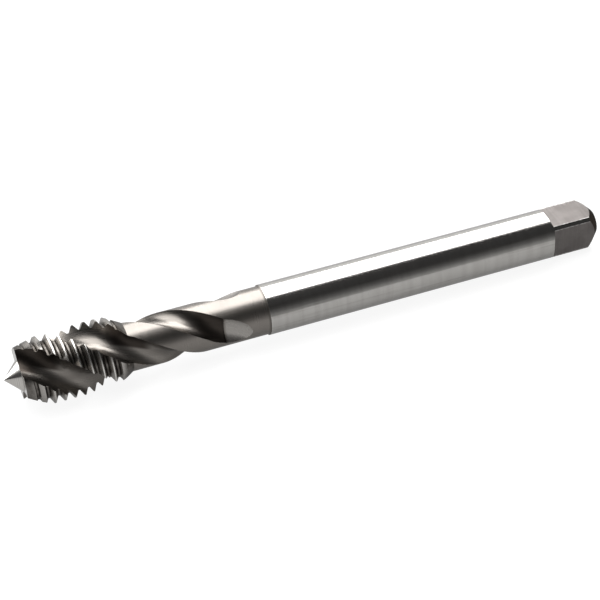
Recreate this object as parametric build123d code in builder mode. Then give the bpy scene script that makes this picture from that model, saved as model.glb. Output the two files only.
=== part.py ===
from build123d import *
from math import asin, atan, ceil, cos, degrees, pi, radians, sin, tan
import os

# A metric machine tap with right-hand spiral flutes, ground from one bar of high-speed steel.
# It is drawn upright, tip down, with the tool axis on Z and Z = 0 at the apex of its male centre.
# It is then laid down along X, tip towards -X, as it rests on a bench: on a thread crest and on
# the end of its shank. Sizes are in millimetres and degrees.

# Thread
thread_diameter = 12.0
thread_pitch = 1.75
thread_depth = 1.07
crest_flat = 0.22
flank_angle = 30.0
thread_end = 18.5
thread_phase = 0.0
shoulder_angle = 30.0

# Tip: male centre, flat end face and the tapered lead that starts the cut
centre_radius = 2.8
centre_half_angle = 45.0
lead_front_radius = 4.85
lead_angle = 14.0

# Flutes
flute_count = 3
flute_lead = 42.4
flute_end = 38.0
first_edge_angle = -156.3
land_angle = 48.0
web_radius = 2.75
rake_angle = 10.0
rake_fillet = 3.0
wheel_radius = 11.5
wheel_lift = 0.12

# Neck and shank
neck_diameter = 8.6
neck_end = 46.0
shank_diameter = 9.0

# Driving square: 7 mm across flats, at the small end of its tolerance
overall_length = 110.0
square_across_flats = 6.85
square_length = 9.2
square_shoulder_angle = 20.0
end_face_radius = 2.4
end_chamfer_angle = 45.0

# How far a cut reaches past the surface it opens: the grinding cuts, and the thread groove, whose
# neighbouring turns must not meet
overrun = 1.0
groove_overrun = 0.1

thread_radius = thread_diameter / 2
core_radius = thread_radius - thread_depth
neck_radius = neck_diameter / 2
shank_radius = shank_diameter / 2
half_flat = square_across_flats / 2
face_height = centre_radius / tan(radians(centre_half_angle))
lead_end = face_height + (thread_radius - lead_front_radius) / tan(radians(lead_angle))
shoulder_end = thread_end + (thread_radius - neck_radius) / tan(radians(shoulder_angle))
square_start = overall_length - square_length
end_chamfer_start = overall_length - (shank_radius - end_face_radius) / tan(radians(end_chamfer_angle))
turn_per_mm = 360 / flute_lead


def polar(radius, angle):
    """Point of a cross-section at a radius and an angle from its X axis."""
    return Vector(radius * cos(radians(angle)), radius * sin(radians(angle)))


def axial_plane(angle):
    """Plane through the tool axis, with X pointing out at the angle and Y along the tool."""
    return Plane(origin=(0, 0, 0), x_dir=polar(1, angle), z_dir=polar(1, angle - 90))


# Section of a flute across the tool, with its deepest point on X. A straight rake face leans back
# by the rake angle, a fillet takes it down to the web, and a wider arc climbs to the next heel.
flute_width = 360 / flute_count - land_angle
fillet_reach = rake_fillet - thread_radius * sin(radians(rake_angle))
edge_angle = rake_angle + degrees(asin(fillet_reach / (web_radius + rake_fillet)))
heel_angle = edge_angle - flute_width
rake_direction = edge_angle - rake_angle
cutting_edge = polar(thread_radius, edge_angle)
rake_top = cutting_edge + polar(overrun, rake_direction)
fillet_centre = Vector(web_radius + rake_fillet, 0)
rake_foot = fillet_centre + polar(rake_fillet, rake_direction + 90)
fillet_middle = fillet_centre + polar(rake_fillet, (rake_direction + 270) / 2)
heel = polar(thread_radius, heel_angle)
outer_middle = polar(thread_radius + 3 * overrun, (edge_angle + heel_angle) / 2)


def flute_section(width_factor):
    """Section of a flute, as seen along a direction that narrows its width by the factor."""
    def narrowed(point):
        return (point.X, point.Y * width_factor)

    with BuildSketch() as section:
        with BuildLine():
            rake_face = Line(narrowed(rake_top), narrowed(rake_foot))
            web_fillet = ThreePointArc(rake_face @ 1, narrowed(fillet_middle), (web_radius, 0))
            heel_face = TangentArc(web_fillet @ 1, narrowed(heel), tangent=(0, -1))
            heel_top = Line(heel_face @ 1, heel_face @ 1 + heel_face % 1 * overrun)
            ThreePointArc(heel_top @ 1, narrowed(outer_middle), rake_face @ 0)
        make_face()
    return section.sketch


def deepest_direction(height):
    """Direction of the first flute's deepest point at a height above the tip."""
    return polar(1, first_edge_angle - edge_angle + (height - face_height) * turn_per_mm)


# One flute, swept along its helix from below the tip to where the grinding wheel leaves.
flute_plane = Plane(origin=(0, 0, -overrun), x_dir=deepest_direction(-overrun), z_dir=(0, 0, 1))
with BuildPart() as flute:
    with BuildLine(flute_plane) as flute_helix:
        Helix(pitch=flute_lead, height=flute_end + overrun, radius=thread_radius)
    with BuildSketch(flute_plane):
        add(flute_section(1))
    sweep(path=flute_helix.line, is_frenet=True)

# The grinding wheel in its last position: a disc whose rim has the flute's form, turned to the
# helix at the neck and just lifted from full depth. It leaves a fine step and a rounded run-out.
helix_angle = degrees(atan(pi * neck_diameter / flute_lead))
wheel_out = deepest_direction(flute_end)
round_the_tap = Vector(0, 0, 1).cross(wheel_out)
wheel_across = round_the_tap * cos(radians(helix_angle)) - Vector(0, 0, sin(radians(helix_angle)))
wheel_plane = Plane(origin=(0, 0, flute_end), x_dir=wheel_out, z_dir=wheel_out.cross(wheel_across))
wheel_centre = wheel_plane.from_local_coords((web_radius + wheel_lift + wheel_radius, 0, 0))
with BuildPart() as wheel:
    with BuildSketch(wheel_plane):
        with Locations((wheel_lift, 0)):
            add(flute_section(cos(radians(helix_angle))))
    revolve(axis=Axis(wheel_centre, wheel_across))

# One turn of the thread groove, with 60 degrees between its flanks.
half_root = (thread_pitch - crest_flat) / 2 - thread_depth * tan(radians(flank_angle))
half_mouth = half_root + (thread_depth + groove_overrun) * tan(radians(flank_angle))
with BuildPart() as groove_turn:
    with BuildLine() as groove_helix:
        Helix(pitch=thread_pitch, height=thread_pitch, radius=core_radius)
    with BuildSketch(axial_plane(0)):
        with BuildLine():
            Polyline(
                (core_radius, -half_root),
                (thread_radius + groove_overrun, -half_mouth),
                (thread_radius + groove_overrun, half_mouth),
                (core_radius, half_root),
                close=True,
            )
        make_face()
    sweep(path=groove_helix.line, is_frenet=True)
groove_start = face_height - thread_pitch * (1 + thread_phase)
groove_turns = ceil((shoulder_end - groove_start) / thread_pitch)

with BuildPart() as thread_tap:
    # Blank, as turned: centre, end face, lead, thread, shoulder, neck, shank and end chamfer
    with BuildSketch(axial_plane(0)):
        with BuildLine():
            Polyline(
                (0, 0),
                (centre_radius, face_height),
                (lead_front_radius, face_height),
                (thread_radius, lead_end),
                (thread_radius, thread_end),
                (neck_radius, shoulder_end),
                (neck_radius, neck_end),
                (shank_radius, neck_end + shank_radius - neck_radius),
                (shank_radius, end_chamfer_start),
                (end_face_radius, overall_length),
                (0, overall_length),
                close=True,
            )
        make_face()
    revolve(axis=Axis.Z)

    # Driving square: four flats, each with a sloped shoulder up to the shank
    cut_radius = shank_radius + overrun
    cut_start = square_start - (cut_radius - half_flat) * tan(radians(square_shoulder_angle))
    for side in range(4):
        with BuildSketch(axial_plane(90 * side)):
            with BuildLine():
                Polyline(
                    (half_flat, square_start),
                    (cut_radius, cut_start),
                    (cut_radius, overall_length + overrun),
                    (half_flat, overall_length + overrun),
                    close=True,
                )
            make_face()
        extrude(amount=shank_diameter, both=True, mode=Mode.SUBTRACT)

    # Thread groove, a turn at a time
    for turn in range(groove_turns):
        with Locations((0, 0, groove_start + turn * thread_pitch)):
            add(groove_turn.part, mode=Mode.SUBTRACT)

    # Flutes and their run-outs
    with PolarLocations(0, flute_count):
        add(flute.part, mode=Mode.SUBTRACT)
    with PolarLocations(0, flute_count):
        add(wheel.part, mode=Mode.SUBTRACT)

# Lay the tap down: its axis falls towards the shank, which is the thinner end.
fall = asin((thread_radius - shank_radius) / (square_start - thread_end))
lying = Plane(origin=(0, 0, 0), x_dir=(0, -1, 0), z_dir=(cos(fall), 0, -sin(fall)))
thread_tap.part.move(lying.location)
box = thread_tap.part.bounding_box()
tip = (-box.center().X, -box.center().Y, -box.min.Z)
thread_tap.part.move(Location(tip))
print("box", box.size, "tip at", tip, "axis falls", degrees(fall), "degrees")

os.makedirs("parts", exist_ok=True)
thread_tap.part.label = "thread_tap"
export_step(thread_tap.part, "parts/thread_tap.step")
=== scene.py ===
import math

import bmesh
import bpy
from mathutils import Matrix, Vector


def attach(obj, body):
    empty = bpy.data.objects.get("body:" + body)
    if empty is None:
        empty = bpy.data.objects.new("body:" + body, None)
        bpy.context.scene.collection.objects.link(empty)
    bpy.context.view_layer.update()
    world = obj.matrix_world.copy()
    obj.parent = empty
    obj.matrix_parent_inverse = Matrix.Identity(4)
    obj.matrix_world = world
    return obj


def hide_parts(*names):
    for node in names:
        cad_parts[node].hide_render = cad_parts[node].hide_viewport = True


# A spiral-flute machine tap lying on a pale table. It is ground upright, in millimetres, tip down,
# with the tool axis on Z and the point of its centre at the origin, and is then laid into the
# frame.

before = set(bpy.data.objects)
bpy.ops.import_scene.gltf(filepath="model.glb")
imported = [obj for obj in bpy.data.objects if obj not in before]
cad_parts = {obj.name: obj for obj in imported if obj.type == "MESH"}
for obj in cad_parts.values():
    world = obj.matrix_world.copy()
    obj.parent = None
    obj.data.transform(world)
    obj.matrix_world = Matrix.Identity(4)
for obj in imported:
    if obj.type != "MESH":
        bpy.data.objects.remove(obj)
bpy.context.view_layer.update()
mm = 0.001
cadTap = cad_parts["thread_tap"]
print("frame loaded")


# Small geometry helpers

def polar(radius, degrees, height=0.0):
    angle = math.radians(degrees)
    return Vector((radius * math.cos(angle), radius * math.sin(angle), height))


def slope(degrees):
    return math.tan(math.radians(degrees))


def arcThrough(start, middle, end, steps):
    # points of the circle through three points of a section, from start to end
    ax, ay, bx, by, cx, cy = start.x, start.y, middle.x, middle.y, end.x, end.y
    double = 2 * (ax * (by - cy) + bx * (cy - ay) + cx * (ay - by))
    squareA, squareB, squareC = ax * ax + ay * ay, bx * bx + by * by, cx * cx + cy * cy
    centre = Vector((
        (squareA * (by - cy) + squareB * (cy - ay) + squareC * (ay - by)) / double,
        (squareA * (cx - bx) + squareB * (ax - cx) + squareC * (bx - ax)) / double,
        0))
    fromAngle = math.atan2(ay - centre.y, ax - centre.x)
    turn = 2 * math.pi
    toMiddle = (math.atan2(by - centre.y, bx - centre.x) - fromAngle) % turn
    toEnd = (math.atan2(cy - centre.y, cx - centre.x) - fromAngle) % turn
    if toMiddle > toEnd:
        toEnd -= turn
    radius = (start - centre).length
    return [centre + polar(radius, math.degrees(fromAngle + toEnd * i / steps))
            for i in range(steps + 1)]


def line(start, end, steps):
    return [start.lerp(end, i / steps) for i in range(steps + 1)]


def joined(*runs):
    # runs of points that meet end to end, as one closed ring without its repeated points
    return [point for run in runs for point in run[1:]]


# Node helpers, for geometry and materials alike

def addNode(tree, kind, sockets=None, **settings):
    node = tree.nodes.new(kind)
    for name, value in settings.items():
        setattr(node, name, value)
    for key, value in (sockets or {}).items():
        if isinstance(value, bpy.types.NodeSocket):
            tree.links.new(value, node.inputs[key])
        else:
            node.inputs[key].default_value = value
    return node


def calculate(tree, operation, first, second=0.0, third=0.0):
    values = {0: first, 1: second, 2: third}
    return addNode(tree, "ShaderNodeMath", values, operation=operation).outputs[0]


def times(tree, first, second):
    return calculate(tree, "MULTIPLY", first, second)


def plus(tree, first, second):
    return calculate(tree, "ADD", first, second)


def larger(tree, first, second):
    return calculate(tree, "MAXIMUM", first, second)


def newTree(name, sockets):
    tree = bpy.data.node_groups.new(name, "GeometryNodeTree")
    tree.interface.new_socket("Geometry", in_out="OUTPUT", socket_type="NodeSocketGeometry")
    tree.interface.new_socket("Geometry", in_out="INPUT", socket_type="NodeSocketGeometry")
    for label, kind, value in sockets:
        socket = tree.interface.new_socket(label, in_out="INPUT", socket_type=kind)
        if value is not None:
            socket.default_value = value
    return tree, tree.nodes.new("NodeGroupInput"), tree.nodes.new("NodeGroupOutput")


def runTree(piece, tree, values):
    # sets the tree's inputs by identifier, then bakes the result into the object's own mesh
    modifier = piece.modifiers.new(tree.name, "NODES")
    modifier.node_group = tree
    for item in tree.interface.items_tree:
        if item.item_type == "SOCKET" and item.in_out == "INPUT" and item.name in values:
            modifier[item.identifier] = values[item.name]
    bpy.context.view_layer.update()
    evaluated = piece.evaluated_get(bpy.context.evaluated_depsgraph_get())
    result = bpy.data.meshes.new_from_object(evaluated)
    piece.modifiers.remove(modifier)
    piece.data = result


def screwTree():
    # carries each slice of a mesh along a screw motion about Z, places the swept body, and repeats
    # it round Z
    tree, given, out = newTree("screwSweep", [
        ("Turn", "NodeSocketFloat", 0.0),
        ("Lead", "NodeSocketFloat", 0.0),
        ("Weld", "NodeSocketFloat", 0.0005),
        ("Place", "NodeSocketVector", None),
        ("Facing", "NodeSocketVector", None),
        ("Copies", "NodeSocketInt", 1),
        ("Material", "NodeSocketMaterial", None)])
    slices = addNode(tree, "GeometryNodeInputNamedAttribute", {"Name": "slice"}, data_type="INT")
    angle = times(tree, slices.outputs["Attribute"], given.outputs["Turn"])
    climb = calculate(tree, "DIVIDE", times(tree, angle, given.outputs["Lead"]), 2 * math.pi)
    position = addNode(tree, "GeometryNodeInputPosition")
    turned = addNode(tree, "ShaderNodeVectorRotate", {
        "Vector": position.outputs[0], "Angle": angle}, rotation_type="Z_AXIS")
    rise = addNode(tree, "ShaderNodeCombineXYZ", {"Z": climb})
    moved = addNode(tree, "ShaderNodeVectorMath", {
        0: turned.outputs[0], 1: rise.outputs[0]}, operation="ADD")
    swept = addNode(tree, "GeometryNodeSetPosition", {
        "Geometry": given.outputs["Geometry"], "Position": moved.outputs[0]})
    whole = addNode(tree, "GeometryNodeMergeByDistance", {
        "Geometry": swept.outputs[0], "Distance": given.outputs["Weld"]})
    placed = addNode(tree, "GeometryNodeTransform", {
        "Geometry": whole.outputs[0],
        "Translation": given.outputs["Place"],
        "Rotation": given.outputs["Facing"]})
    points = addNode(tree, "GeometryNodeMeshLine", {
        "Count": given.outputs["Copies"], "Offset": (0, 0, 0)})
    index = addNode(tree, "GeometryNodeInputIndex")
    share = calculate(tree, "DIVIDE", 2 * math.pi, given.outputs["Copies"])
    spread = addNode(tree, "FunctionNodeAxisAngleToRotation", {
        "Axis": (0, 0, 1), "Angle": times(tree, index.outputs[0], share)})
    copies = addNode(tree, "GeometryNodeInstanceOnPoints", {
        "Points": points.outputs[0],
        "Instance": placed.outputs[0],
        "Rotation": spread.outputs[0]})
    real = addNode(tree, "GeometryNodeRealizeInstances", {"Geometry": copies.outputs[0]})
    finished = addNode(tree, "GeometryNodeSetMaterial", {
        "Geometry": real.outputs[0], "Material": given.outputs["Material"]})
    tree.links.new(finished.outputs[0], out.inputs[0])
    return tree


def grindTree(cuts):
    # takes each cutter away from the blank in turn
    sockets = [(name, "NodeSocketObject", None) for name in cuts]
    tree, given, out = newTree("grindAway", sockets + [("Material", "NodeSocketMaterial", None)])
    body = given.outputs["Geometry"]
    for name in cuts:
        cutter = addNode(tree, "GeometryNodeObjectInfo", {"Object": given.outputs[name]})
        cut = addNode(tree, "GeometryNodeMeshBoolean", {
            0: body, 1: cutter.outputs["Geometry"]}, operation="DIFFERENCE", solver="MANIFOLD")
        body = cut.outputs[0]
    real = addNode(tree, "GeometryNodeRealizeInstances", {"Geometry": body})
    finished = addNode(tree, "GeometryNodeSetMaterial", {
        "Geometry": real.outputs[0], "Material": given.outputs["Material"]})
    tree.links.new(finished.outputs[0], out.inputs[0])
    return tree


screwSweep = screwTree()


def sweptPiece(name, rings, closed, values):
    # joins rings of points into a skin, numbers the rings, and lets the tree carry them round
    mesh = bpy.data.meshes.new(name)
    count = len(rings[0])
    points = [tuple(point) for ring in rings for point in ring]
    faces = []
    for i in range(len(rings) if closed else len(rings) - 1):
        here, there = i * count, (i + 1) % len(rings) * count
        for j in range(count):
            k = (j + 1) % count
            faces.append((here + j, here + k, there + k, there + j))
    if not closed:
        faces.append(tuple(reversed(range(count))))
        faces.append(tuple(range((len(rings) - 1) * count, len(rings) * count)))
    mesh.from_pydata(points, [], faces)
    numbers = mesh.attributes.new("slice", "INT", "POINT")
    numbers.data.foreach_set("value", [i for i in range(len(rings)) for _ in range(count)])
    piece = bpy.data.objects.new(name, mesh)
    bpy.context.scene.collection.objects.link(piece)
    runTree(piece, screwSweep, values)
    shape = bmesh.new()
    shape.from_mesh(piece.data)
    bmesh.ops.recalc_face_normals(shape, faces=shape.faces)
    shape.to_mesh(piece.data)
    shape.free()
    return piece


# Sizes of the tap in millimetres and degrees, as the frame has them, and how finely it is drawn

tap = {
    "threadDiameter": 12.0, "pitch": 1.75, "threadDepth": 1.07, "crestFlat": 0.22,
    "flankAngle": 30.0, "threadEnd": 18.5, "shoulderAngle": 30.0,
    "centreRadius": 2.8, "centreHalfAngle": 45.0, "leadFrontRadius": 4.85, "leadAngle": 14.0,
    "flutes": 3, "fluteLead": 42.4, "fluteEnd": 38.0, "firstEdgeAngle": -156.3,
    "landAngle": 48.0, "webRadius": 2.75, "rakeAngle": 10.0, "rakeFillet": 3.0,
    "wheelRadius": 11.5, "wheelLift": 0.12,
    "neckDiameter": 8.6, "neckEnd": 46.0, "shankDiameter": 9.0,
    "length": 110.0, "acrossFlats": 6.85, "squareLength": 9.2, "squareShoulderAngle": 20.0,
    "endFaceRadius": 2.4, "endChamferAngle": 45.0,
    # how far a cut reaches past the surface it opens, and across the shank in shank diameters
    "overrun": 1.0, "grooveOverrun": 0.1, "squareReach": 0.55,
    # a ring this close to the point lets the cone shade as a cone, and an edge that turns by more
    # than the sharp angle shades as an edge
    "pointRing": 0.12, "sharpAngle": 12.0,
    "blankSteps": 288, "grooveSteps": 96, "fluteSteps": 156, "wheelSteps": 160,
    "rakeSteps": 6, "filletSteps": 10, "heelSteps": 22, "outerSteps": 12,
}

threadRadius = tap["threadDiameter"] / 2
coreRadius = threadRadius - tap["threadDepth"]
neckRadius = tap["neckDiameter"] / 2
shankRadius = tap["shankDiameter"] / 2
halfFlat = tap["acrossFlats"] / 2
faceHeight = tap["centreRadius"] / slope(tap["centreHalfAngle"])
leadEnd = faceHeight + (threadRadius - tap["leadFrontRadius"]) / slope(tap["leadAngle"])
shoulderEnd = tap["threadEnd"] + (threadRadius - neckRadius) / slope(tap["shoulderAngle"])
shankStart = tap["neckEnd"] + shankRadius - neckRadius
squareStart = tap["length"] - tap["squareLength"]
endChamferStart = (
    tap["length"] - (shankRadius - tap["endFaceRadius"]) / slope(tap["endChamferAngle"]))


def blank():
    # the turned bar: centre, end face, lead, thread, shoulder, neck, shank and end chamfer
    pointRing = tap["pointRing"]
    corners = [
        (0, 0), (pointRing, pointRing / slope(tap["centreHalfAngle"])),
        (tap["centreRadius"], faceHeight), (tap["leadFrontRadius"], faceHeight),
        (threadRadius, leadEnd), (threadRadius, tap["threadEnd"]), (neckRadius, shoulderEnd),
        (neckRadius, tap["neckEnd"]), (shankRadius, shankStart),
        (shankRadius, endChamferStart), (tap["endFaceRadius"], tap["length"]), (0, tap["length"])]
    profile = [Vector((radius, 0, height)) for radius, height in corners]
    steps = tap["blankSteps"]
    return sweptPiece("blank", [profile] * steps, True, {"Turn": 2 * math.pi / steps})


def threadGroove():
    # the 60 degree groove as one long screw sweep, from in front of the tip to past the shoulder
    flank = slope(tap["flankAngle"])
    halfRoot = (tap["pitch"] - tap["crestFlat"]) / 2 - tap["threadDepth"] * flank
    mouth = threadRadius + tap["grooveOverrun"]
    halfMouth = halfRoot + (mouth - coreRadius) * flank
    start = faceHeight - tap["pitch"]
    turns = math.ceil((shoulderEnd - start) / tap["pitch"])
    section = [Vector(point) for point in (
        (coreRadius, 0, start - halfRoot), (mouth, 0, start - halfMouth),
        (mouth, 0, start + halfMouth), (coreRadius, 0, start + halfRoot))]
    steps = tap["grooveSteps"]
    return sweptPiece("groove", [section] * (turns * steps + 1), False, {
        "Turn": 2 * math.pi / steps, "Lead": tap["pitch"]})


fluteWidth = 360 / tap["flutes"] - tap["landAngle"]
filletReach = tap["rakeFillet"] - threadRadius * math.sin(math.radians(tap["rakeAngle"]))
edgeAngle = tap["rakeAngle"] + math.degrees(
    math.asin(filletReach / (tap["webRadius"] + tap["rakeFillet"])))


def fluteSection(widthFactor):
    # a flute across the tool, deepest on X: straight rake face, web fillet, wide arc up to the heel
    rakeDirection = edgeAngle - tap["rakeAngle"]
    heelAngle = edgeAngle - fluteWidth
    narrow = Matrix.Diagonal((1, widthFactor, 1))
    edge = polar(threadRadius, edgeAngle)
    filletCentre = Vector((tap["webRadius"] + tap["rakeFillet"], 0, 0))
    rakeTop = narrow @ (edge + polar(tap["overrun"], rakeDirection))
    rakeFoot = narrow @ (filletCentre + polar(tap["rakeFillet"], rakeDirection + 90))
    filletMiddle = narrow @ (
        filletCentre + polar(tap["rakeFillet"], (rakeDirection + 270) / 2))
    heel = narrow @ polar(threadRadius, heelAngle)
    bottom = Vector((tap["webRadius"], 0, 0))
    across = heel.x - bottom.x
    heelArcRadius = (across * across + heel.y * heel.y) / (2 * across)
    arcCentre = bottom + Vector((heelArcRadius, 0, 0))
    heelTurn = math.degrees(math.atan2(heel.y, heel.x - arcCentre.x)) % 360 - 180
    heelMiddle = arcCentre + polar(heelArcRadius, 180 + heelTurn / 2)
    heelTop = heel + polar(tap["overrun"], heelTurn + 270)
    outer = narrow @ polar(threadRadius + 3 * tap["overrun"], (edgeAngle + heelAngle) / 2)
    return joined(
        line(rakeTop, rakeFoot, tap["rakeSteps"]),
        arcThrough(rakeFoot, filletMiddle, bottom, tap["filletSteps"]),
        arcThrough(bottom, heelMiddle, heel, tap["heelSteps"]),
        line(heel, heelTop, 1),
        arcThrough(heelTop, outer, rakeTop, tap["outerSteps"]))


def deepestAngle(height):
    # where the first flute is deepest at a height
    climb = (height - faceHeight) * 360 / tap["fluteLead"]
    return tap["firstEdgeAngle"] - edgeAngle + climb


def flutes():
    # the three flutes, twisted up the tool to where the grinding wheel leaves
    start, steps = -tap["overrun"], tap["fluteSteps"]
    turn = 2 * math.pi * (tap["fluteEnd"] - start) / tap["fluteLead"] / steps
    place = Matrix.Translation((0, 0, start)) @ Matrix.Rotation(
        math.radians(deepestAngle(start)), 4, "Z")
    section = [place @ point for point in fluteSection(1)]
    return sweptPiece("flutes", [section] * (steps + 1), False, {
        "Turn": turn, "Lead": tap["fluteLead"], "Copies": tap["flutes"]})


def runOuts():
    # the wheel in its last position in each flute: its rim has the flute's form, turned to the
    # helix at the neck
    tilt = math.atan(math.pi * tap["neckDiameter"] / tap["fluteLead"])
    outward = polar(1, deepestAngle(tap["fluteEnd"]))
    roundTheTap = Vector((0, 0, 1)).cross(outward)
    axis = roundTheTap * math.cos(tilt) - Vector((0, 0, math.sin(tilt)))
    reach = tap["webRadius"] + tap["wheelRadius"]
    rim = fluteSection(math.cos(tilt))
    section = [Vector((point.x - reach, 0, point.y)) for point in rim]
    centre = Vector((0, 0, tap["fluteEnd"])) + outward * (reach + tap["wheelLift"])
    facing = Matrix((outward, axis.cross(outward), axis)).transposed()
    steps = tap["wheelSteps"]
    return sweptPiece("runOuts", [section] * steps, True, {
        "Turn": 2 * math.pi / steps,
        "Place": centre,
        "Facing": facing.to_euler(),
        "Copies": tap["flutes"]})


def squareCut():
    # four flats with a sloped shoulder up to the shank
    cutRadius = shankRadius + tap["overrun"]
    cutStart = squareStart - (cutRadius - halfFlat) * slope(tap["squareShoulderAngle"])
    cutEnd = tap["length"] + tap["overrun"]
    corners = [
        (halfFlat, squareStart), (cutRadius, cutStart), (cutRadius, cutEnd), (halfFlat, cutEnd)]
    half = tap["shankDiameter"] * tap["squareReach"]
    rings = [[Vector((radius, side * half, height)) for radius, height in corners]
             for side in (-1, 1)]
    return sweptPiece("squareCut", rings, False, {"Copies": 4})


def cleanMesh(mesh):
    # drops the loose slivers that the cuts leave
    shape = bmesh.new()
    shape.from_mesh(mesh)
    islands, seen = [], set()
    for start in shape.verts:
        if start in seen:
            continue
        island, waiting = [], [start]
        seen.add(start)
        while waiting:
            vertex = waiting.pop()
            island.append(vertex)
            for edge in vertex.link_edges:
                other = edge.other_vert(vertex)
                if other not in seen:
                    seen.add(other)
                    waiting.append(other)
        islands.append(island)
    largest = max(islands, key=len)
    loose = [vertex for island in islands if island is not largest for vertex in island]
    bmesh.ops.delete(shape, geom=loose, context="VERTS")
    bmesh.ops.recalc_face_normals(shape, faces=shape.faces)
    shape.to_mesh(mesh)
    shape.free()


def makeTap(material):
    piece = blank()
    cutters = {
        "Groove": threadGroove(), "Flutes": flutes(), "RunOuts": runOuts(), "Square": squareCut()}
    runTree(piece, grindTree(list(cutters)), {**cutters, "Material": material})
    for cutter in cutters.values():
        bpy.data.objects.remove(cutter)
    cleanMesh(piece.data)
    piece.name = piece.data.name = "tap_body"
    print("tap ground:", len(piece.data.polygons), "faces")
    return piece


# Laying the tap down: it rests on a crest and on the end of its shank, so its axis falls towards
# the square

fall = math.asin((threadRadius - shankRadius) / (squareStart - tap["threadEnd"]))
tip = min((vertex.co for vertex in cadTap.data.vertices), key=lambda place: place.x).copy()
layingTurn = Matrix((
    (0, -1, 0),
    (-math.sin(fall), 0, -math.cos(fall)),
    (math.cos(fall), 0, -math.sin(fall)))).transposed()
laying = Matrix.Translation(tip) @ layingTurn.to_4x4() @ Matrix.Scale(mm, 4)


# Finishes. Each reads the tool's own place in millimetres: Z along the tap from its point, X and Y
# across it. "colour" is how much the clean metal mirrors, "edgeTint" how much of that is left where
# it is seen edge on, the dark tone the darker metal of marks and stains, and of the painted shade
# in the flutes and at the neck's step, the light tone the bright metal of rubbed edges, and of the
# painted light on the run-out walls, and "markDepth" the depth of its tool marks. A pattern has its
# grains to the millimetre each way. A pair of numbers is where something starts and where it is
# complete.

def placeOnTool(tree):
    objectPlace = addNode(tree, "ShaderNodeTexCoord")
    return addNode(tree, "ShaderNodeMapping", {
        "Vector": objectPlace.outputs["Object"], "Location": tip,
        "Rotation": layingTurn.to_euler(), "Scale": (mm, mm, mm)}, vector_type="TEXTURE").outputs[0]


def heightOf(tree, place):
    return addNode(tree, "ShaderNodeSeparateXYZ", {0: place}).outputs["Z"]


def radiusOf(tree, place):
    across = addNode(tree, "ShaderNodeVectorMath", {0: place, 1: (1, 1, 0)}, operation="MULTIPLY")
    return addNode(tree, "ShaderNodeVectorMath", {
        0: across.outputs[0]}, operation="LENGTH").outputs["Value"]


def untwisted(tree, place):
    # the place carried back down its flute, so that the flutes run straight along Z
    turn = times(tree, heightOf(tree, place), -2 * math.pi / tap["fluteLead"])
    return addNode(tree, "ShaderNodeVectorRotate", {
        "Vector": place, "Angle": turn}, rotation_type="Z_AXIS").outputs[0]


def fade(tree, value, start, end):
    # 0 at the start and 1 at the end, smooth between
    return addNode(tree, "ShaderNodeMapRange", {
        "Value": value, "From Min": start, "From Max": end},
        interpolation_type="SMOOTHSTEP").outputs[0]


def between(tree, share, low, high):
    return addNode(tree, "ShaderNodeMapRange", {
        "Value": share, "To Min": low, "To Max": high}).outputs[0]


def noise(tree, place, grains, detail=3.0, low=0.35, high=0.65):
    # a pattern from 0 to 1
    stretched = addNode(tree, "ShaderNodeMapping", {"Vector": place, "Scale": grains})
    pattern = addNode(tree, "ShaderNodeTexNoise", {
        "Vector": stretched.outputs[0], "Scale": 1.0, "Detail": detail, "Roughness": 0.6})
    return fade(tree, pattern.outputs["Fac"], low, high)


def roundRings(tree, radius, grains, detail=3.0, low=0.35, high=0.65):
    # turned rings about the axis, from 0 to 1
    pattern = addNode(tree, "ShaderNodeTexNoise", {
        "W": times(tree, radius, grains), "Scale": 1.0, "Detail": detail}, noise_dimensions="1D")
    return fade(tree, pattern.outputs["Fac"], low, high)


def blend(tree, share, first, second):
    return addNode(tree, "ShaderNodeMix", {
        "Factor": share, 6: first, 7: second}, data_type="RGBA").outputs[2]


def outerRadius(tree, height):
    # the radius of the blank at a height: lead, thread, shoulder, neck
    leadSlope, shoulderSlope = slope(tap["leadAngle"]), slope(tap["shoulderAngle"])
    lead = plus(tree, times(tree, height, leadSlope),
                tap["leadFrontRadius"] - faceHeight * leadSlope)
    shoulder = plus(tree, times(tree, height, -shoulderSlope),
                    threadRadius + tap["threadEnd"] * shoulderSlope)
    turned = calculate(tree, "MINIMUM", shoulder, threadRadius)
    return larger(tree, calculate(tree, "MINIMUM", lead, turned), neckRadius)


# how much the roughness follows the tool marks, and how much the darker parts add to it: stains,
# and the painted shade in the flutes and at the neck's step
shine = {"marks": 0.15, "darkParts": 0.2}


def newSteel(name, look):
    material = bpy.data.materials.new(name)
    material.use_nodes = True
    shader = material.node_tree.nodes["Principled BSDF"]
    shader.inputs["Metallic"].default_value = 1.0
    shader.inputs["Specular Tint"].default_value = (*[look["edgeTint"]] * 3, 1)
    return material, material.node_tree, placeOnTool(material.node_tree)


def finishSteel(tree, look, marks, darkened, lightened=None):
    # colours the steel darker at stains and painted shade, lighter at wear and painted light, and
    # lets its tool marks break up the shine
    shader = tree.nodes["Principled BSDF"]
    steel = blend(tree, darkened, (*look["colour"], 1), (*look["darkTone"], 1))
    if lightened is not None:
        steel = blend(tree, lightened, steel, (*look["lightened"], 1))
    tree.links.new(steel, shader.inputs["Base Color"])
    rough = look["roughness"]
    marked = between(tree, marks, rough * (1 - shine["marks"]), rough * (1 + shine["marks"]))
    roughness = plus(tree, marked, times(tree, darkened, rough * shine["darkParts"]))
    tree.links.new(roughness, shader.inputs["Roughness"])
    bump = addNode(tree, "ShaderNodeBump", {
        "Height": marks, "Distance": look["markDepth"] * mm, "Strength": 1.0})
    tree.links.new(bump.outputs[0], shader.inputs["Normal"])


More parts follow.
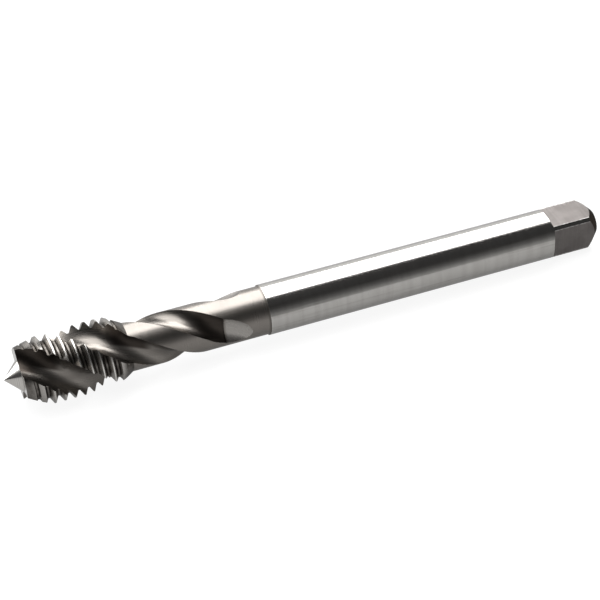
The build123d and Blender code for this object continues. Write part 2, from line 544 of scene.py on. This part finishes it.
shankLook = {
    "colour": (0.435, 0.425, 0.407), "darkTone": (0.33, 0.318, 0.30), "lightened": (0.66, 0.65, 0.63),
    "edgeTint": 0.9, "roughness": 0.14, "markDepth": 0.0006,
    "rings": {"grains": (0.06, 0.06, 9), "detail": 4},
    "rubs": {"grains": (1.6, 1.6, 0.035), "low": 0.5, "high": 0.7}, "rubShare": 0.55,
    "bands": {"grains": (0.05, 0.05, 0.7)}, "bandShare": 0.35,
    "frontEdge": (0.12, 0.02), "frontEdgeShare": 0.5,  # mm behind the step
}


def shankSteel(look):
    # fine rings of cylindrical grinding, long faint rub marks, and a bright front edge
    material, tree, place = newSteel("shankSteel", look)
    rings = noise(tree, place, **look["rings"])
    rubs = times(tree, noise(tree, place, **look["rubs"]), look["rubShare"])
    bands = times(tree, noise(tree, place, **look["bands"]), look["bandShare"])
    fromStep = plus(tree, heightOf(tree, place), -shankStart)
    lightened = times(tree, fade(tree, fromStep, *look["frontEdge"]), look["frontEdgeShare"])
    finishSteel(tree, look, rings, plus(tree, rubs, bands), lightened)
    return material


neckLook = {
    "colour": (0.225, 0.208, 0.191), "darkTone": (0.155, 0.143, 0.13),
    "edgeTint": 0.9, "roughness": 0.30, "markDepth": 0.0005,
    "rings": {"grains": (0.08, 0.08, 9), "detail": 2, "low": 0.2, "high": 0.8},
    "cloud": {"grains": (0.3, 0.3, 0.2), "low": 0.25, "high": 0.75}, "cloudShare": 0.4,
    # painted shadow in the corner at the step up to the shank, growing towards the step
    "cornerShade": (-0.35, 0),  # mm from the step
}


def neckSteel(look):
    # turning rings, a dull stain, and a painted shadow: a dark line in the corner at the step up to
    # the shank
    material, tree, place = newSteel("neckSteel", look)
    rings = noise(tree, place, **look["rings"])
    cloud = times(tree, noise(tree, place, **look["cloud"]), look["cloudShare"])
    # painted shadow: darker towards the corner where the neck meets the step
    cornerShade = fade(tree, plus(tree, heightOf(tree, place), -tap["neckEnd"]), *look["cornerShade"])
    finishSteel(tree, look, rings, larger(tree, cloud, cornerShade))
    return material


fluteLook = {
    # the dark tone also colours the painted shade in the flutes
    "colour": (0.232, 0.215, 0.197), "darkTone": (0.045, 0.038, 0.033), "lightened": (0.62, 0.60, 0.575),
    "edgeTint": 0.7, "roughness": 0.29, "markDepth": 0.0010,
    "lines": {"grains": (4, 4, 0.12), "low": 0.25, "high": 0.75},
    "cloud": {"grains": (0.45, 0.45, 0.12)}, "cloudShare": 0.25,
    "ragged": {"grains": (1.2, 1.2, 1.2)}, "rubbedDepth": (0.11, 0.02), "rubbedShare": (0.1, 0.7),
    # painted light on the wall of the run-out, which is made lighter
    "wallLight": (0.1, 0.6), "wallLightShare": 0.34,  # the wall of the run-out, in mm past the flute's end
    # painted shade in patches along the heel side: mm along the tap, and degrees from the deepest
    # line
    "firstPatch": 6.0, "patchSpacing": 15.5, "patchWave": (-0.2, 0.7), "patchSide": (-2, -16),
    "patchesStop": (-8, -11),  # mm from the flute's end
    # painted shade nearly all across a flute at its end, in mm from that end, and at the tip
    "endShade": (-7, -3.5), "endShadeStops": (0.1, 0), "tipShade": (7, 4.5), "tipSide": (26, 8),
}


def paintedFluteShade(tree, look, place, straight):
    # painted shade in a flute: dark in patches along its heel side, and nearly all across at both
    # ends
    height = heightOf(tree, place)
    fromEnd = plus(tree, height, -tap["fluteEnd"])
    parts = addNode(tree, "ShaderNodeSeparateXYZ", {0: straight})
    angle = calculate(tree, "ARCTAN2", parts.outputs["Y"], parts.outputs["X"])
    share = 2 * math.pi / tap["flutes"]
    fromDeepest = plus(tree, angle, -math.radians(deepestAngle(0)))
    side = calculate(tree, "WRAP", fromDeepest, share / 2, -share / 2)
    wave = 2 * math.pi / look["patchSpacing"]
    swell = calculate(tree, "COSINE", calculate(
        tree, "MULTIPLY_ADD", height, wave, -look["firstPatch"] * wave))
    patches = times(tree, fade(tree, swell, *look["patchWave"]),
                    fade(tree, side, *map(math.radians, look["patchSide"])))
    alongHeel = times(tree, patches, fade(tree, fromEnd, *look["patchesStop"]))
    atEnd = times(tree, fade(tree, fromEnd, *look["endShade"]),
                  fade(tree, fromEnd, *look["endShadeStops"]))
    atTip = times(tree, fade(tree, height, *look["tipShade"]),
                  fade(tree, side, *map(math.radians, look["tipSide"])))
    return larger(tree, larger(tree, alongHeel, atEnd), atTip)


def fluteSteel(look):
    # wheel marks that run along the flute, painted shade, edges rubbed bright, and painted light on
    # the run-out wall
    material, tree, place = newSteel("fluteSteel", look)
    height = heightOf(tree, place)
    straight = untwisted(tree, place)
    lines = noise(tree, straight, **look["lines"])
    cloud = times(tree, noise(tree, straight, **look["cloud"]), look["cloudShare"])
    # darker in the cloud, and painted shade from the flute's patches and ends
    darkened = larger(tree, cloud, paintedFluteShade(tree, look, place, straight))
    depth = calculate(tree, "SUBTRACT", outerRadius(tree, height), radiusOf(tree, place))
    ragged = between(tree, noise(tree, place, **look["ragged"]), *look["rubbedShare"])
    rubbed = times(tree, fade(tree, depth, *look["rubbedDepth"]), ragged)
    # painted light: the wall of the run-out, past the flute's end, is lightened
    wallLight = fade(tree, plus(tree, height, -tap["fluteEnd"]), *look["wallLight"])
    lightened = larger(tree, rubbed, times(tree, wallLight, look["wallLightShare"]))
    finishSteel(tree, look, lines, darkened, lightened)
    return material


threadLook = {
    "colour": (0.40, 0.382, 0.36), "darkTone": (0.062, 0.055, 0.048), "lightened": (0.62, 0.605, 0.58),
    "edgeTint": 0.7, "roughness": 0.26, "markDepth": 0.0012,
    "rings": {"grains": (0.2, 0.2, 14)},
    "patches": {"grains": (0.5, 0.5, 0.5)}, "rootShare": (0.75, 1.0),
    "root": (0.75, 0),  # mm above the core
    "crest": (-0.07, -0.01), "crestShare": 0.85,  # mm from the outside
}


def threadSteel(look):
    # ground flanks with fine rings: dark at the root of the groove, bright along the crest
    material, tree, place = newSteel("threadSteel", look)
    radius = radiusOf(tree, place)
    rings = noise(tree, place, **look["rings"])
    patches = between(tree, noise(tree, place, **look["patches"]), *look["rootShare"])
    root = fade(tree, plus(tree, radius, -coreRadius), *look["root"])
    crest = fade(tree, plus(tree, radius, -threadRadius), *look["crest"])
    finishSteel(tree, look, rings, times(tree, root, patches),
                times(tree, crest, look["crestShare"]))
    return material


pointLook = {
    "colour": (0.52, 0.505, 0.48), "darkTone": (0.22, 0.205, 0.19), "lightened": (0.75, 0.74, 0.72),
    "edgeTint": 0.9, "roughness": 0.13, "markDepth": 0.0010,
    "rings": {"grains": 7.0}, "ringShare": 0.35,
    "point": (0.25, 0.1), "pointShare": 0.8,  # mm from the axis
}


def pointSteel(look):
    # the turned centre and end face: bright, with rings
    material, tree, place = newSteel("pointSteel", look)
    radius = radiusOf(tree, place)
    rings = roundRings(tree, radius, **look["rings"])
    lightened = times(tree, fade(tree, radius, *look["point"]), look["pointShare"])
    finishSteel(tree, look, rings, times(tree, rings, look["ringShare"]), lightened)
    return material


flatsLook = {
    "colour": (0.146, 0.135, 0.130), "darkTone": (0.095, 0.087, 0.083), "lightened": (0.42, 0.41, 0.40),
    "edgeTint": 0.5, "roughness": 0.38, "markDepth": 0.0016,
    "lines": {"grains": (0.1, 0.1, 7)}, "lineShare": 0.15,
    "patches": {"grains": (0.5, 0.5, 0.35), "detail": 4}, "patchShare": 0.35,
    "ragged": {"grains": (1.5, 1.5, 1.5)}, "rubbedShare": (0.1, 0.9),
    "rubbed": (-0.16, -0.02),  # mm from the outside of the shank
}


def flatsSteel(look):
    # milled flats: fine lines across them, soft patches, and corners rubbed by the wrench
    material, tree, place = newSteel("flatsSteel", look)
    lines = noise(tree, place, **look["lines"])
    patches = times(tree, noise(tree, place, **look["patches"]), look["patchShare"])
    darkened = plus(tree, patches, times(tree, lines, look["lineShare"]))
    ragged = between(tree, noise(tree, place, **look["ragged"]), *look["rubbedShare"])
    rubbed = fade(tree, plus(tree, radiusOf(tree, place), -shankRadius), *look["rubbed"])
    finishSteel(tree, look, lines, darkened, times(tree, rubbed, ragged))
    return material


chamferLook = {
    "colour": (0.085, 0.077, 0.070), "darkTone": (0.045, 0.040, 0.036), "lightened": (0.26, 0.25, 0.24),
    "edgeTint": 0.35, "roughness": 0.24, "markDepth": 0.0016,
    "rings": {"grains": 5.0}, "ringShare": 0.7,
    "rimWidth": 0.1, "rimShare": 0.6,  # mm each side of the end face's rim
}


def chamferSteel(look):
    # the turned end: dark, with rings, and a rubbed rim round the end face
    material, tree, place = newSteel("chamferSteel", look)
    radius = radiusOf(tree, place)
    rings = roundRings(tree, radius, **look["rings"])
    fromRim = plus(tree, radius, -tap["endFaceRadius"])
    rim = times(tree, fade(tree, fromRim, look["rimWidth"], 0),
                fade(tree, fromRim, -look["rimWidth"], 0))
    finishSteel(tree, look, rings, times(tree, rings, look["ringShare"]),
                times(tree, rim, look["rimShare"]))
    return material


# Which finish each face has. The slacks are in millimetres.

slack = {"flute": 0.06, "surface": 0.03, "flat": 0.02, "endFace": 0.05}
facesTip = -0.6  # a face on the centre or end face looks at least this much towards the tip
fluteOutline = fluteSection(1)


def onFlute(centre):
    # whether a place on the upright tap lies on the wall of a flute
    untwist = Matrix.Rotation(-math.radians(deepestAngle(centre.z)), 3, "Z")
    straight = untwist @ Vector((centre.x, centre.y, 0))
    for k in range(tap["flutes"]):
        turned = Matrix.Rotation(2 * math.pi * k / tap["flutes"], 3, "Z") @ straight
        for start, end in zip(fluteOutline, fluteOutline[1:]):
            along = end - start
            share = max(0.0, min(1.0, (turned - start).dot(along) / along.length_squared))
            if (turned - start - along * share).length < slack["flute"]:
                return True
    return False


def finishFor(centre, normal):
    radius = math.hypot(centre.x, centre.y)
    fromAxis = max(abs(centre.x), abs(centre.y))
    if centre.z > endChamferStart and fromAxis < halfFlat - slack["flat"]:
        return "chamfer"
    if centre.z > shankStart:
        return "flats" if radius < shankRadius - slack["surface"] else "shank"
    if centre.z > shoulderEnd:
        return "flute" if radius < neckRadius - slack["surface"] else "neck"
    if onFlute(centre):
        return "flute"
    if normal.z < facesTip and centre.z < faceHeight + slack["endFace"]:
        return "point"
    return "thread"


def giveFinishes(piece, finishes):
    names = list(finishes)
    piece.data.materials.clear()
    for name in names:
        piece.data.materials.append(finishes[name])
    for face in piece.data.polygons:
        face.material_index = names.index(finishFor(face.center, face.normal))


finishes = {
    "shank": shankSteel(shankLook), "neck": neckSteel(neckLook), "flute": fluteSteel(fluteLook),
    "thread": threadSteel(threadLook), "point": pointSteel(pointLook),
    "flats": flatsSteel(flatsLook), "chamfer": chamferSteel(chamferLook)}
tapBody = makeTap(finishes["shank"])
giveFinishes(tapBody, finishes)
tapBody.data.transform(laying)
tapBody.data.shade_smooth()
tapBody.data.set_sharp_from_angle(angle=math.radians(tap["sharpAngle"]))
print("finishes given")
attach(tapBody, "root")
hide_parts("thread_tap")


# Floor, room, softboxes and camera, in metres. The room's levels follow the height of the
# direction, with one run of levels for the front and one for the back.

studio = {
    "floorSize": 8.0, "floorShare": 0.16, "floorGlow": 0.90,
    "floorShareInMetal": 0.28, "floorGlowInMetal": 0.36,
    "front": [(0.0, 0.48), (0.14, 0.37), (0.29, 0.20), (0.44, 0.12), (0.60, 0.06), (1.0, 0.06)],
    "back": [(0.0, 1.22), (0.48, 1.22), (0.60, 0.10), (1.0, 0.06)],
    "backDirection": (-0.1, 0.3), "brightestLevel": 2.0,
    "tipEnd": {"level": 0.22, "x": (0.05, -0.35), "y": (0.3, 0.1)},
}
softboxes = {
    "overhead": {"size": (1.91, 0.80), "place": (0.47, 0.761, 1.292), "aim": (0.47, 0, 0),
                 "radiance": 5.8},
    "tipSide": {"size": (0.95, 1.3), "place": (-0.32, 0.04, 1.42), "aim": (0, 0, 0),
                "radiance": 3.9},
    "side": {"size": (0.70, 1.20), "place": (-1.1, 1.0, 0.42), "aim": (0, 0, 0),
             "radiance": 5.0},
}
view = {
    "place": (-0.08471, -0.23736, 0.20950), "target": (-0.00194, -0.00003, 0.00538),
    "roll": -3.59, "lens": 111.6, "clipStart": 0.01,
}


def makeFloor():
    # pale for the camera, and matt with a low glow in the metal, where it keeps the tap's shadow
    bpy.ops.mesh.primitive_plane_add(size=studio["floorSize"])
    floor = bpy.context.object
    floor.name = "floor"
    material = bpy.data.materials.new("paleFloor")
    material.use_nodes = True
    tree = material.node_tree
    tree.nodes.clear()
    path = addNode(tree, "ShaderNodeLightPath")
    mirrored = larger(tree, path.outputs["Is Glossy Ray"], path.outputs["Is Transmission Ray"])
    matt = addNode(tree, "ShaderNodeBsdfDiffuse", {
        "Color": between(tree, mirrored, studio["floorShare"], studio["floorShareInMetal"])})
    glow = plus(tree, times(tree, path.outputs["Is Camera Ray"], studio["floorGlow"]),
                times(tree, mirrored, studio["floorGlowInMetal"]))
    lit = addNode(tree, "ShaderNodeEmission", {"Strength": glow})
    both = addNode(tree, "ShaderNodeAddShader", {0: matt.outputs[0], 1: lit.outputs[0]})
    out = addNode(tree, "ShaderNodeOutputMaterial")
    tree.links.new(both.outputs[0], out.inputs["Surface"])
    floor.data.materials.append(material)


def ramp(tree, value, stops):
    # a level that follows the stops (position, level), which the ramp holds as shares of the
    # brightest one
    node = addNode(tree, "ShaderNodeValToRGB", {0: value})
    stopList = node.color_ramp.elements
    while len(stopList) < len(stops):
        stopList.new(1.0)
    brightest = studio["brightestLevel"]
    for stop, (position, level) in zip(stopList, stops):
        stop.position = position
        stop.color = (*[level / brightest] * 3, 1)
    return times(tree, node.outputs[0], brightest)


def makeWorld():
    # the room: in front it is pale at the table's edge and dark above, and at the back pale up to
    # the softbox. It is darker past the tip.
    world = bpy.data.worlds.new("studioWorld")
    world.use_nodes = True
    bpy.context.scene.world = world
    tree = world.node_tree
    direction = addNode(tree, "ShaderNodeTexCoord")
    parts = addNode(tree, "ShaderNodeSeparateXYZ", {0: direction.outputs["Generated"]})
    x, y, z = (parts.outputs[axis] for axis in "XYZ")
    around = addNode(tree, "ShaderNodeMix", {
        "Factor": fade(tree, y, *studio["backDirection"]),
        2: ramp(tree, z, studio["front"]),
        3: ramp(tree, z, studio["back"])}, data_type="FLOAT").outputs[0]
    tipEnd = studio["tipEnd"]
    pastTip = times(tree, fade(tree, x, *tipEnd["x"]), fade(tree, y, *tipEnd["y"]))
    level = times(tree, around, between(tree, pastTip, 1.0, tipEnd["level"]))
    isCamera = addNode(tree, "ShaderNodeLightPath").outputs["Is Camera Ray"]
    background = tree.nodes["Background"]
    background.inputs["Color"].default_value = (1, 1, 1, 1)
    tree.links.new(larger(tree, level, isCamera), background.inputs["Strength"])


def makeSoftbox(name, look):
    lamp = bpy.data.lights.new(name, "AREA")
    lamp.shape = "RECTANGLE"
    lamp.size, lamp.size_y = look["size"]
    lamp.energy = look["radiance"] * math.pi * lamp.size * lamp.size_y
    box = bpy.data.objects.new(name, lamp)
    bpy.context.scene.collection.objects.link(box)
    box.location = look["place"]
    box.rotation_euler = (box.location - Vector(look["aim"])).to_track_quat("Z", "X").to_euler()


def makeCamera():
    camera = bpy.data.objects.new("camera", bpy.data.cameras.new("camera"))
    bpy.context.scene.collection.objects.link(camera)
    bpy.context.scene.camera = camera
    camera.data.lens = view["lens"]
    camera.data.clip_start = view["clipStart"]
    place, target = Vector(view["place"]), Vector(view["target"])
    aim = (target - place).to_track_quat("-Z", "Y").to_matrix().to_4x4()
    roll = Matrix.Rotation(math.radians(view["roll"]), 4, "Z")
    camera.matrix_world = Matrix.Translation(place) @ aim @ roll


makeFloor()
makeWorld()
for name, look in softboxes.items():
    makeSoftbox(name, look)
makeCamera()
bpy.context.scene.view_settings.view_transform = "Standard"
print("studio set")
